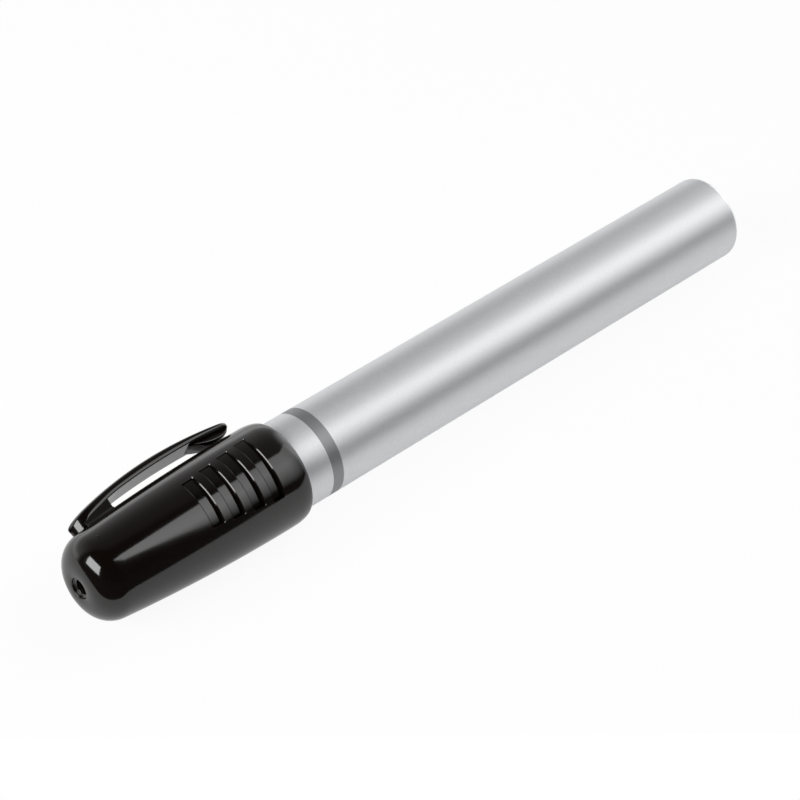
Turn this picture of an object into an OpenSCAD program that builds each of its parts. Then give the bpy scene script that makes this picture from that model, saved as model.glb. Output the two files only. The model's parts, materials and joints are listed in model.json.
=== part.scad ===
// Capped permanent marker, lying on its side: a closed aluminium barrel with a fibre ink
// reservoir, a front section that holds a bullet nib, and a push-on cap with a pocket clip.
// Each piece is drawn upright, from the barrel's closed end at z = 0 up to the cap's end, with
// the clip toward +x, and is then laid down along the X axis. A distance called "in" is measured
// from the cap's end face back toward the barrel.

/* [Pose] */
// How far the clip is rolled from straight up, toward +Y
clip_roll = 64.5; // [0:0.5:180]

/* [Barrel] */
// Outside diameter of the barrel
barrel_d = 14; // [13.4:0.1:16]
// Length from the closed end to the front rim
barrel_len = 96; // [70:0.5:130]
// Thickness of the barrel's tube
barrel_wall = 0.5; // [0.4:0.05:0.8]
// Thickness of the closed end
barrel_floor = 1; // [0.6:0.1:2]
// Rounding of the closed end's edge
barrel_edge_r = 0.9; // [0.4:0.1:1.4]
// How much the front rim is turned down, on the radius
rim_drop = 0.2; // [0.1:0.05:0.3]

/* [Front section] */
// Height of the collar that seats on the barrel's rim
collar_h = 1; // [0.6:0.1:2]
// How far the neck is stepped in from the barrel's surface
neck_step = 0.85; // [0.7:0.05:1.2]
// Length of the neck that the cap grips
neck_len = 10.2; // [8:0.1:14]
// Length of the cone between the neck and the snout
cone_len = 3.7; // [2.5:0.1:5]
// Diameter of the snout around the nib
snout_d = 8; // [7:0.1:8.6]
// Length of the snout
snout_len = 4.5; // [3:0.1:6]
// Chamfer on the snout's front edge
snout_chamfer = 0.6; // [0.2:0.1:1]
// Length of the plug inside the barrel
plug_len = 8; // [5:0.5:12]
// Width of the snap groove round the neck
snap_w = 1.2; // [0.6:0.1:2]
// Depth of the snap groove
snap_depth = 0.3; // [0.1:0.05:0.5]

/* [Nib and ink] */
// Diameter of the nib
nib_d = 4; // [3:0.1:5]
// How far the nib stands out of the snout
nib_reach = 5.6; // [4.5:0.1:7]
// Length of the nib's bullet-shaped tip
nib_tip_len = 4; // [2.5:0.1:4.4]
// How deep the nib's tail pushes into the reservoir
nib_tail = 8; // [4:0.5:15]
// Thickness of the film round the reservoir
wrap_t = 0.25; // [0.15:0.05:0.4]

/* [Cap] */
// How far the cap's widest place stands out from the barrel
cap_lip = 1.16; // [1:0.02:1.6]
// How far the cap's mouth reaches past the barrel's rim
cap_overlap = 3.2; // [2.5:0.1:5]
// Radius of the long curve along the cap's side
cap_side_arc = 300; // [250:5:600]
// Distance of the cap's widest place from its mouth
belly_from_mouth = 3.6; // [3:0.1:8]
// Rounding of the cap's nose
nose_r = 4.2; // [3.4:0.1:4.6]
// Length of the rounding at the mouth
mouth_len = 2.6; // [1:0.1:3]
// How far the rounding draws the mouth in, on the radius
mouth_drop = 0.6; // [0.2:0.05:0.8]
// Thickness of the cap's wall and end
cap_wall = 1.4; // [1.2:0.05:1.6]
// Diameter of the vent hole in the cap's end
vent_d = 3.3; // [2:0.1:4.4]
// Number of ribs that hold the inner cap
rib_count = 6; // [3:1:8]
// Thickness of each rib
rib_t = 1; // [0.6:0.1:1.4]
// Length of the ribs
rib_len = 9; // [5:0.5:12]

/* [Inner cap] */
// Thickness of the inner cap's wall
inner_wall = 0.9; // [0.6:0.05:1.1]
// Thickness of the inner cap's floor
inner_floor = 0.7; // [0.5:0.05:1]
// Free space between the inner cap's floor and the nib
nib_air = 6; // [4.8:0.1:8]
// Diameter of the moulding pip seen through the vent hole
pip_d = 1.5; // [0.8:0.1:1.8]
// Height of the moulding pip
pip_h = 0.6; // [0.3:0.1:1]

/* [Finger grip] */
// Number of grip slots on each side
grip_count = 4; // [1:1:4]
// Distance from one slot to the next
grip_pitch = 3.52; // [3:0.02:3.8]
// Width of a slot
grip_w = 1.9; // [1:0.1:2.2]
// Depth of a slot half way along it
grip_depth = 0.5; // [0.3:0.05:0.7]
// How much tighter a slot's floor is curved than the cap, on the radius
grip_bow = 0.5; // [0:0.1:2]
// How far toward the clip the floor's curve is centred
grip_shift = 0; // [0:0.05:0.5]
// Thinnest wall left under a slot
grip_wall = 0.45; // [0.3:0.05:0.6]
// Distance of the first slot's middle from the mouth
grip_from_mouth = 6; // [5.4:0.1:9]
// Half the angle that the first slot spans round the cap
grip_half = 39; // [20:1:45]
// How much less each next slot spans
grip_taper = 3; // [0:0.1:6]
// Angle from the clip to the middle of the slots
grip_side = 93; // [85:1:100]

/* [Pocket clip] */
// Width of the clip
clip_w = 4.8; // [3.5:0.1:6]
// Distance of the clip's front face from the cap's end
clip_in = 4.5; // [4.4:0.1:7]
// Length of the clip's root on the cap
root_len = 5.6; // [4:0.1:7]
// Length of the arm from the root to the tip
arm_len = 23.4; // [18:0.1:24]
// Height of the arch's crest over the cap's surface
crest_rise = 3.02; // [2.4:0.02:4]
// Distance of the crest from the arm's tip
crest_out = 11.2; // [10:0.1:15]
// Radius of the arch's outer face
arch_r = 64; // [55:1:90]
// Radius of the arch's inner face
arch_inner_r = 67; // [55:1:90]
// Thickness of the arm at its crest
arm_t = 1.25; // [0.9:0.05:1.5]
// Length of the pad under the tip
pad_len = 8; // [5:0.1:10]
// Width of the pad's sole
pad_w = 3; // [2:0.1:3.4]
// Length of the slope at the pad's inner end
pad_toe = 2.4; // [1:0.1:3]
// Length of the slope at the pad's outer end
pad_heel = 1.8; // [1:0.1:2.5]
// Rounding of the root's front edge
root_round = 0.6; // [0.2:0.1:1]

/* [Fits] */
// Clearance of pieces that are pushed together, on the radius
push_fit = 0.05; // [0.02:0.01:0.1]
// Clearance of the reservoir in the barrel, on the radius
loose_fit = 0.2; // [0.1:0.05:0.3]
// Clearance of the cap on the front section, on the radius
cap_fit = 0.2; // [0.15:0.05:0.3]
// Clearance of the inner cap on the snout, on the radius
seal_fit = 0.12; // [0.1:0.02:0.2]
// Gap where pieces meet end to end
end_gap = 0.1; // [0.05:0.05:0.2]
// Gap that the air passes behind the inner cap
vent_gap = 0.3; // [0.2:0.05:0.5]
// Gap between the cap's inner step and the collar, where the cap stops
stop_gap = 0.2; // [0.15:0.05:0.4]
// Gap between the mouth and the shoulder of the barrel's rim
mouth_gap = 0.15; // [0.1:0.05:0.3]
// Clearance of the clip's knuckle in its seat
knuckle_fit = 0.12; // [0.1:0.02:0.2]
// Gap between the clip's pad and the cap
pad_gap = 0.17; // [0.1:0.01:0.4]

/* [Hidden] */
$fn = 96;

black = "#1b1a19";
aluminium = "#c4c6c9";

// Steps in each rounded stretch of an outline
arc_steps = 10;
// Overrun of cutting solids
cut = 1;

// Radii from the barrel inward
barrel_r = barrel_d / 2;
bore_r = barrel_r - barrel_wall;
rim_r = barrel_r - rim_drop;
collar_r = rim_r - push_fit;
neck_r = barrel_r - neck_step;
snout_r = snout_d / 2;
nib_r = nib_d / 2;
wrap_r = bore_r - loose_fit;
fibre_r = wrap_r - wrap_t - push_fit;

// Heights from the closed end
neck_z = barrel_len + collar_h;
cone_z = neck_z + neck_len;
snout_z = cone_z + cone_len;
snout_end_z = snout_z + snout_len;
nib_end_z = snout_end_z + nib_reach;
inner_floor_z = nib_end_z + nib_air;
inner_end_z = inner_floor_z + inner_floor;
cap_end_z = inner_end_z + vent_gap + cap_wall;
plug_z = barrel_len - plug_len;
fibre_z = barrel_floor + end_gap;
fibre_end_z = plug_z - end_gap;
nib_z = fibre_end_z - nib_tail;
mouth_z = barrel_len - cap_overlap;
cap_len = cap_end_z - mouth_z;
echo(cap_len = cap_len, overall_len = cap_end_z);

// The cap's outside: a long shallow arc, widest near the mouth
belly_r = barrel_r + cap_lip;
belly_in = cap_len - belly_from_mouth;
function cap_r(in) = belly_r - pow(in - belly_in, 2) / (2 * cap_side_arc);

// The nose is an arc that meets the end face and the side without a corner
nose_slope = atan((belly_in - nose_r) / cap_side_arc);
nose_join = nose_r * (1 - sin(nose_slope));
nose_flat_r = cap_r(nose_join) - nose_r * cos(nose_slope);
function nose_arc(r) = [for (i = [0:arc_steps]) let (a = i / arc_steps * (90 - nose_slope))
    [nose_flat_r + r * sin(a), cap_end_z - nose_r + r * cos(a)]];

// Points along the side between two places, moved in by an amount
function side_arc(from, to, inset) = [for (i = [1:arc_steps])
    let (in = from + i / arc_steps * (to - from))
    [cap_r(in) - inset, cap_end_z - in]];

mouth_in = cap_len - mouth_len;
function mouth_arc() = [for (i = [1:arc_steps]) let (a = i / arc_steps * 90)
    [cap_r(mouth_in) - mouth_drop * (1 - cos(a)), cap_end_z - mouth_in - mouth_len * sin(a)]];

// The cap's inside: a skirt over the rim, a bore over the neck, then an even wall to the nose
skirt_r = rim_r + cap_fit + push_fit;
grip_bore_r = neck_r + cap_fit;
step_z = neck_z + stop_gap;
wall_meets_in = belly_in - sqrt(2 * cap_side_arc * (belly_r - cap_wall - grip_bore_r));

// The inner cap: a cup with a conical end, held by ribs in the cap
inner_bore_r = snout_r + seal_fit;
inner_r = inner_bore_r + inner_wall;
inner_rim_z = snout_z + vent_gap;
inner_flat_r = nose_flat_r - push_fit;
inner_cone_h = inner_r - inner_flat_r;
cavity_flat_r = inner_flat_r - inner_floor;
cavity_cone_h = inner_bore_r - cavity_flat_r;
rib_top_z = cap_end_z - nose_r;

// The clip's side view, as heights over the axis
root_in = clip_in + root_len;
tip_in = root_in + arm_len;
crest_in = tip_in - crest_out;
crest_x = cap_r(crest_in) + crest_rise;
function arch_x(in) = crest_x - arch_r + sqrt(pow(arch_r, 2) - pow(in - crest_in, 2));
function under_x(in) = crest_x - arm_t - arch_inner_r
    + sqrt(pow(arch_inner_r, 2) - pow(in - crest_in, 2));
root_base_x = cap_r(clip_in) - cap_wall / 2;
knuckle_x = (arch_x(root_in) + under_x(root_in)) / 2;
knuckle_r = (arch_x(root_in) - under_x(root_in)) / 2 * cos(asin((crest_in - root_in) / arch_inner_r));
knuckle_z = cap_end_z - root_in;
pad_in = tip_in - pad_len;
pad_sole_x = cap_r(belly_in) + pad_gap;

// Lays an upright piece down along X and rolls it
module laid() {
    rotate([-clip_roll, 0, 0]) rotate([0, -90, 0]) children();
}

// A side view, drawn as [height over the axis, z], given a width across the clip
module across(width) {
    rotate([90, 0, 0]) linear_extrude(height = width, center = true) children();
}

module barrel() {
    edge = [for (i = [0:arc_steps]) let (a = i / arc_steps * 90)
        [barrel_r - barrel_edge_r * (1 - sin(a)), barrel_edge_r * (1 - cos(a))]];
    shoulder_z = mouth_z - mouth_gap;
    color(aluminium) laid() rotate_extrude()
        polygon(concat([[0, 0]], edge, [
            [barrel_r, shoulder_z],
            [rim_r, shoulder_z + rim_drop],
            [rim_r, barrel_len],
            [bore_r, barrel_len],
            [bore_r, barrel_floor],
            [0, barrel_floor]]));
}

module nib_holder() {
    snap_z = neck_z + (neck_len - snap_w) / 2;
    hole_r = nib_r + push_fit;
    color(black) laid() rotate_extrude()
        polygon([
            [hole_r, plug_z],
            [bore_r - push_fit, plug_z],
            [bore_r - push_fit, barrel_len],
            [collar_r, barrel_len],
            [collar_r, neck_z],
            [neck_r, neck_z],
            [neck_r, snap_z],
            [neck_r - snap_depth, snap_z],
            [neck_r - snap_depth, snap_z + snap_w],
            [neck_r, snap_z + snap_w],
            [neck_r, cone_z],
            [snout_r, snout_z],
            [snout_r, snout_end_z - snout_chamfer],
            [snout_r - snout_chamfer, snout_end_z],
            [hole_r, snout_end_z]]);
}

module nib() {
    tip_z = nib_end_z - nib_tip_len;
    tip = [for (i = [0:arc_steps]) let (a = i / arc_steps * 90)
        [nib_r * cos(a), tip_z + nib_tip_len * sin(a)]];
    color("#141312") laid() rotate_extrude()
        polygon(concat([[0, nib_z + end_gap], [nib_r, nib_z + end_gap]], tip));
}

module reservoir() {
    color("#2a2932") laid() rotate_extrude()
        polygon([
            [0, fibre_z],
            [fibre_r, fibre_z],
            [fibre_r, fibre_end_z],
            [nib_r + push_fit, fibre_end_z],
            [nib_r + push_fit, nib_z],
            [0, nib_z]]);
}

module reservoir_wrap() {
    color("#d8dadc") laid() translate([0, 0, fibre_z]) difference() {
        cylinder(h = fibre_end_z - fibre_z, r = wrap_r);
        translate([0, 0, -cut]) cylinder(h = fibre_end_z - fibre_z + 2 * cut, r = wrap_r - wrap_t);
    }
}

// The slots are sunk straight in from both sides, so their ends are flat and square to the clip.
// With a bow equal to the depth, a floor follows the cap's curve.
module grip_slots() {
    for (side = [0, 1], i = [0:grip_count - 1]) {
        middle_z = mouth_z + grip_from_mouth + i * grip_pitch;
        half = grip_half - i * grip_taper;
        skin_r = cap_r(cap_end_z - middle_z);
        floor_r = skin_r - grip_bow;
        low_x = skin_r * cos(grip_side + half);
        high_x = skin_r * cos(grip_side - half);
        mirror([0, side, 0]) translate([0, 0, middle_z - grip_w / 2]) linear_extrude(height = grip_w)
            difference() {
                translate([low_x, 0]) square([high_x - low_x, skin_r + cut]);
                translate([grip_shift, skin_r - grip_depth - floor_r]) circle(r = floor_r);
                circle(r = grip_bore_r + grip_wall);
            }
    }
}

module inner_ribs() {
    rib_end_z = rib_top_z - rib_len;
    for (i = [0:rib_count - 1]) rotate([0, 0, i * 360 / rib_count]) across(rib_t)
        polygon([
            [inner_r + push_fit, rib_top_z],
            [cap_r(cap_end_z - rib_top_z) - cap_wall / 2, rib_top_z],
            [cap_r(cap_end_z - rib_end_z) - cap_wall / 2, rib_end_z],
            [inner_r + push_fit, rib_end_z]]);
}

// The part of the clip that is moulded on the cap, with a half-round seat for the arm
module clip_root() {
    front_z = cap_end_z - clip_in;
    front_x = arch_x(clip_in);
    corner = [for (i = [0:arc_steps]) let (a = i / arc_steps * 90)
        [front_x - root_round * (1 - cos(a)), front_z - root_round * (1 - sin(a))]];
    difference() {
        across(clip_w) polygon(concat([[root_base_x, knuckle_z]],
            [for (i = [0:arc_steps]) let (in = root_in + i / arc_steps * (clip_in + root_round - root_in))
                [arch_x(in), cap_end_z - in]],
            corner, [[root_base_x, front_z]]));
        translate([knuckle_x, 0, knuckle_z]) rotate([90, 0, 0])
            cylinder(h = clip_w + 2 * cut, r = knuckle_r + knuckle_fit, center = true);
    }
}

module cap_shell() {
    color(black) laid() difference() {
        union() {
            difference() {
                rotate_extrude() polygon(concat(
                    [[0, cap_end_z]], nose_arc(nose_r), side_arc(nose_join, mouth_in, 0), mouth_arc(), [
                        [skirt_r, mouth_z],
                        [skirt_r, step_z],
                        [grip_bore_r, step_z],
                        [grip_bore_r, cap_end_z - wall_meets_in]],
                    side_arc(wall_meets_in, nose_r, cap_wall),
                    [for (i = [arc_steps:-1:0]) nose_arc(nose_r - cap_wall)[i]],
                    [[0, cap_end_z - cap_wall]]));
                grip_slots();
            }
            inner_ribs();
            clip_root();
        }
        translate([0, 0, cap_end_z - cap_wall - cut]) cylinder(h = cap_wall + 2 * cut, d = vent_d);
    }
}

module inner_cap() {
    color("#26262a") laid() {
        rotate_extrude() polygon([
            [0, inner_end_z],
            [inner_flat_r, inner_end_z],
            [inner_r, inner_end_z - inner_cone_h],
            [inner_r, inner_rim_z],
            [inner_bore_r, inner_rim_z],
            [inner_bore_r, inner_floor_z - cavity_cone_h],
            [cavity_flat_r, inner_floor_z],
            [0, inner_floor_z]]);
        translate([0, 0, inner_end_z - inner_floor / 2]) cylinder(h = inner_floor / 2 + pip_h, d = pip_d);
    }
}

module pocket_clip() {
    arm_plan_in = tip_in - clip_w / 2;
    arch = [for (i = [0:arc_steps]) let (in = root_in + i / arc_steps * arm_len)
        [arch_x(in), cap_end_z - in]];
    // The underside runs out level with the pad's sole, so the tip clears the cap
    under = [for (i = [arc_steps:-1:0]) let (in = root_in + i / arc_steps * arm_len)
        [max(under_x(in), pad_sole_x), cap_end_z - in]];
    color(black) laid() {
        intersection() {
            across(clip_w) polygon(concat(arch, under));
            rotate([0, 90, 0]) linear_extrude(height = crest_x + cut) union() {
                translate([-cap_end_z + arm_plan_in, 0]) circle(d = clip_w);
                translate([-cap_end_z + root_in - cut, -clip_w / 2])
                    square([arm_plan_in - root_in + cut, clip_w]);
            }
        }
        translate([knuckle_x, 0, knuckle_z]) rotate([90, 0, 0])
            cylinder(h = clip_w, r = knuckle_r, center = true);
        across(pad_w) polygon([
            [under_x(pad_in) + arm_t / 2, cap_end_z - pad_in],
            [pad_sole_x, cap_end_z - pad_in - pad_toe],
            [pad_sole_x, cap_end_z - tip_in + pad_heel],
            [under_x(tip_in) + arm_t / 2, cap_end_z - tip_in + arm_t / 2]]);
    }
}

barrel();
nib_holder();
nib();
reservoir();
reservoir_wrap();
cap_shell();
inner_cap();
pocket_clip();
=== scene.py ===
"""Looks of a capped permanent marker that lies on its side.

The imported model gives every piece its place. The pieces here are turned or drawn in the marker's
own measures: out, away from the axis toward the clip; across the clip; and along, from the cap's end
face toward the barrel's closed end. They are laid into the frame at the end.
"""
import json
import math

import bmesh
import bpy
from mathutils import Matrix, Vector


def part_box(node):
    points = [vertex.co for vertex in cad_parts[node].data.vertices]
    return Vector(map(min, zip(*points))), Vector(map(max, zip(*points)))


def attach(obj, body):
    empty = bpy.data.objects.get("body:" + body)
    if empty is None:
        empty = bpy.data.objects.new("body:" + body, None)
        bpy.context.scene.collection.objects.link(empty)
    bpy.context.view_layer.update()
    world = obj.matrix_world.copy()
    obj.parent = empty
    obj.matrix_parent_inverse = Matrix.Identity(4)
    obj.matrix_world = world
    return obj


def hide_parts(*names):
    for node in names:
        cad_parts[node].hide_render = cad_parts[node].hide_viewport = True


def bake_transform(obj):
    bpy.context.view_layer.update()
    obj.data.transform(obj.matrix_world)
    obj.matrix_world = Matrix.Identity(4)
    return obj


bl_info = {
    "name": "Permanent marker",
    "version": (1, 0, 0),
    "blender": (4, 5, 0),
    "location": "View3D > Sidebar > Marker",
    "description": "Dresses a packed permanent marker: barrel, front section, cap, pocket clip and studio",
    "category": "Object",
}

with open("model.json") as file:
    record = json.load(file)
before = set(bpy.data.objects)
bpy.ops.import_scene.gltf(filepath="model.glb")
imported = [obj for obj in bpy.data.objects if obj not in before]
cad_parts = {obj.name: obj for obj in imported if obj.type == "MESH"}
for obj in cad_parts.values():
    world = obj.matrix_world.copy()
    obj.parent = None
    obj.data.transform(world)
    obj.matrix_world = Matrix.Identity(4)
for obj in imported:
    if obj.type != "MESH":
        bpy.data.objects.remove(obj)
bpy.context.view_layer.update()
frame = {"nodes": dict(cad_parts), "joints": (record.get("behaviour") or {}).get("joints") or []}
MM = 0.001

# Places read from the frame
BARREL_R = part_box("barrel")[1].y
BARREL_LEN = -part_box("barrel")[0].x
CAP_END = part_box("cap_shell")[0].x
CAP_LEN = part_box("cap_shell")[1].x - CAP_END
BELLY_R = -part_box("cap_shell")[0].z
FLEX = next(joint for joint in frame["joints"] if joint["name"] == "clip_flex")
HINGE = Vector(FLEX["pos_m"])
OUT = Vector((0, HINGE.y, HINGE.z)).normalized()
ACROSS = Vector(FLEX["axis"]).normalized()
HINGE_ALONG = HINGE.x - CAP_END
LAID = Matrix.Translation((CAP_END, 0, 0)) @ Matrix((
    (OUT.x, ACROSS.x, 1),
    (OUT.y, ACROSS.y, 0),
    (OUT.z, ACROSS.z, 0),
)).to_4x4()


def linear(hex_colour):
    """Turns an sRGB hex colour into linear red, green and blue."""
    shares = [int(hex_colour[i:i + 2], 16) / 255 for i in (1, 3, 5)]
    return [s / 12.92 if s <= 0.04045 else ((s + 0.055) / 1.055) ** 2.4 for s in shares]


def length(name, description, size):
    """A length that a user can change, with its default in millimetres."""
    return bpy.props.FloatProperty(
        name=name, description=description, default=size * MM, min=0, precision=5,
        unit="LENGTH", subtype="DISTANCE")


def colour(name, description, hex_colour):
    """A colour that a user can change, with its default as an sRGB hex value."""
    return bpy.props.FloatVectorProperty(
        name=name, description=description, default=linear(hex_colour), min=0, max=1,
        size=3, subtype="COLOR")


class BarrelSettings(bpy.types.PropertyGroup):
    """Sizes and colours of the barrel."""
    wall: length("Wall", "Thickness of the barrel's tube", 0.5)
    floor: length("End", "Thickness of the closed end", 1)
    edge: length("Edge", "Rounding of the closed end's edge", 0.9)
    rim_drop: length("Rim drop", "How much the front rim is turned down", 0.2)
    rim_gap: length("Rim gap", "Gap between the cap's mouth and the rim's shoulder", 0.15)
    ring_place: length("Ring place", "Distance of the printed ring's middle from the cap's mouth", 5.6)
    ring_width: length("Ring width", "Width of the printed ring", 2)
    metal: colour("Aluminium", "Colour of the bare barrel", "#dbdcde")
    ink: colour("Ring ink", "Colour of the printed ring", "#959698")


class CapSettings(bpy.types.PropertyGroup):
    """Sizes and colours of the cap and its clip."""
    side_arc: length("Side curve", "Radius of the long curve along the cap's side", 300)
    belly: length("Belly", "Distance of the widest place from the mouth", 3.6)
    nose: length("Nose", "Rounding of the cap's nose", 4.2)
    mouth_length: length("Mouth rounding", "Length of the rounding at the mouth", 2.6)
    mouth_drop: length("Mouth drop", "How far the rounding draws the mouth in", 0.6)
    wall: length("Wall", "Thickness of the cap's wall and end", 1.4)
    vent: length("Vent", "Diameter of the vent hole", 3.3)
    vent_sink: length("Vent ledge", "Depth of the ledge in the vent hole", 0.4)
    vent_bore: length("Vent bore", "Diameter of the vent hole under its ledge", 2.2)
    skirt: length("Skirt", "Radius inside the mouth", 7.05)
    bore: length("Bore", "Radius over the neck", 6.35)
    step: length("Step", "Distance of the inner step from the mouth", 4.4)
    slot_count: bpy.props.IntProperty(
        name="Slots", description="Number of grip slots on each side", default=4, min=1)
    slot_from_mouth: length("First slot", "Distance of the first slot's middle from the mouth", 6)
    slot_pitch: length("Slot pitch", "Distance from one slot to the next", 3.52)
    slot_width: length("Slot width", "Width of a slot", 1.9)
    slot_depth: length("Slot depth", "Depth of a slot half way along it", 0.7)
    slot_flat: length("Slot flatness", "How much larger a slot floor's radius is than the cap's", 0.45)
    slot_shift: length("Slot shift", "How far toward the clip the floor's curve is centred", 0.6)
    slot_end: length("Slot ends", "Rounding at the lower end of a slot's floor", 0.3)
    slot_lip: length("Slot lip", "Chamfer of a slot's edge toward the mouth", 0.24)
    slot_rim: length("Slot rim", "Chamfer of a slot's other edges", 0.16)
    edge: length("Edge", "Rounding of the cap's other edges", 0.18)
    rib_count: bpy.props.IntProperty(
        name="Ribs", description="Number of ribs that hold the inner cap", default=6, min=1)
    rib_thickness: length("Rib thickness", "Thickness of each rib", 1)
    rib_length: length("Rib length", "Length of the ribs", 9)
    plastic: colour("Cap plastic", "Colour of the moulded cap", "#110c0a")


class ClipSettings(bpy.types.PropertyGroup):
    """Sizes of the pocket clip."""
    width: length("Width", "Width of the clip", 4.8)
    front: length("Front", "Distance of the clip's front from the cap's end", 4.05)
    reach: length("Reach", "Length of the arm from its root to its tip", 23.8)
    crest_from_tip: length("Crest", "Distance of the crest from the tip", 11.6)
    crest_rise: length("Crest rise", "Height of the crest over the cap", 3.02)
    outer_arc: length("Outer arc", "Radius of the arm's outer face", 64)
    inner_arc: length("Inner arc", "Radius of the arm's inner face", 99)
    hollow_from_tip: length("Hollow", "Distance of the inner face's highest place from the tip", 8.9)
    thickness: length("Thickness", "Height of the crest over the inner face's highest place", 1.23)
    tip_thickness: length("Tip thickness", "Thickness of the arm at its tip", 0.6)
    root_thickening: length("Root thickening", "How much thicker the strip is over the root", 0.5)
    round: length("Lower edges", "Rounding of the strip's lower edges", 0.22)
    crown: length("Crown", "Height of the outer face's rounded crown", 0.45)
    crown_edge: length("Crown edge", "Width of the crown's falling edges", 1)
    front_corner: length("Front corners", "Rounding of the front corners, seen from above", 3.6)
    front_drop: length("Front drop", "How far the crown falls to the front", 0.4)
    tip_corner: length("Tip corners", "Rounding of the tip's corners, seen from above", 1.6)
    web_front: length("Web front", "Distance of the root's web from the cap's end", 5.9)
    web_inset: length("Web inset", "How far the web's sides lie inside the strip's", 0.35)
    web_reach: length("Web reach", "How far the web's foot goes on past the hinge", 0.4)
    web_lean: length("Web lean", "How far the web's end leans out toward the tip", 0.7)
    web_fillet: length("Web fillet", "Rounding where the root meets the cap", 0.3)
    pad_length: length("Pad length", "Length of the pad under the tip", 7.4)
    pad_width: length("Pad width", "Width of the pad", 3.2)
    pad_gap: length("Pad gap", "Gap between the pad and the cap", 0.17)


class FrontSettings(bpy.types.PropertyGroup):
    """Sizes and colours of the pieces under the cap."""
    neck: length("Neck", "Radius of the neck that the cap grips", 6.15)
    neck_length: length("Neck length", "Length of the neck", 10.2)
    collar: length("Collar", "Radius of the collar that seats on the barrel's rim", 6.75)
    collar_height: length("Collar height", "Height of the collar", 1)
    snap_width: length("Snap width", "Width of the snap groove round the neck", 1.2)
    snap_depth: length("Snap depth", "Depth of the snap groove", 0.3)
    cone: length("Cone", "Length of the cone between the neck and the snout", 3.7)
    snout: length("Snout", "Radius of the snout", 4)
    snout_chamfer: length("Snout chamfer", "Chamfer on the snout's front edge", 0.6)
    nib: length("Nib", "Radius of the nib", 2)
    nib_tip: length("Nib tip", "Length of the nib's bullet-shaped tip", 4)
    seal_gap: length("Inner cap gap", "Clearance of the inner cap on the snout, on the radius", 0.12)
    seal_wall: length("Inner cap wall", "Thickness of the inner cap's wall", 0.9)
    seal_floor: length("Inner cap floor", "Thickness of the inner cap's floor", 0.7)
    seal_flat: length("Inner cap end", "Radius of the inner cap's flat end", 2.5)
    pip: length("Pip", "Radius of the moulding pip on the inner cap's end", 0.75)
    pip_height: length("Pip height", "Height of the moulding pip", 0.6)
    fit: length("Fit", "Clearance of pieces that are pushed together, on the radius", 0.05)
    edge: length("Edge", "Rounding of these pieces' edges", 0.12)
    holder: colour("Holder", "Colour of the nib holder", "#1c1b1b")
    fibre: colour("Fibre", "Colour of the soaked nib", "#121114")
    wad: colour("Reservoir", "Colour of the soaked reservoir", "#201f26")
    seal: colour("Inner cap", "Colour of the inner cap", "#26262a")
    film: colour("Film", "Colour of the film round the reservoir", "#d8dadc")


class StudioSettings(bpy.types.PropertyGroup):
    """The camera, and the colour of the floor and the backdrop."""
    lens: bpy.props.FloatProperty(
        name="Lens", description="Focal length of the camera", default=120.6, unit="CAMERA")
    azimuth: bpy.props.FloatProperty(
        name="Azimuth", description="Direction that the camera looks along, round from +Y",
        default=math.radians(-42.8), subtype="ANGLE")
    elevation: bpy.props.FloatProperty(
        name="Elevation", description="Height of the camera over the horizon",
        default=math.radians(39.84), subtype="ANGLE")
    aim: length("Aim", "Distance of the point aimed at from the closed end", 68.6)
    aim_drop: length("Aim drop", "How far the point aimed at lies under the axis", 0.3)
    distance: length("Distance", "Distance of the camera from the point aimed at", 404)
    white: colour("White", "Colour of the floor and the backdrop", "#ffffff")


SETTINGS = {
    "marker_barrel": BarrelSettings,
    "marker_cap": CapSettings,
    "marker_clip": ClipSettings,
    "marker_front": FrontSettings,
    "marker_studio": StudioSettings,
}

# Faces round a turned piece
SPIN_STEPS = 120
# Distance within which two vertices are one
MERGE = 0.001 * MM
# Angle from which two faces meet at a clear corner
SHARP = math.radians(40)


def add(tree, kind, values=None, links=None, **attributes):
    """Adds a node, sets its attributes and socket values, and links its sockets from other nodes."""
    node = tree.nodes.new(kind)
    for name, value in attributes.items():
        setattr(node, name, value)
    for socket, value in (values or {}).items():
        node.inputs[socket].default_value = value
    for socket, source in (links or {}).items():
        tree.links.new(source, node.inputs[socket])
    return node


def material(name):
    """An empty node material and its tree."""
    made = bpy.data.materials.new(name)
    made.use_nodes = True
    made.node_tree.nodes.clear()
    return made, made.node_tree


def rgba(values):
    """A colour with its alpha."""
    return (*values, 1)


def spread(tree, noise, low, high):
    """Maps the usual range of a noise onto a range of values."""
    return add(
        tree, "ShaderNodeMapRange", {"From Min": 0.3, "From Max": 0.7, "To Min": low, "To Max": high},
        {"Value": noise.outputs["Fac"]})


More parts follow.
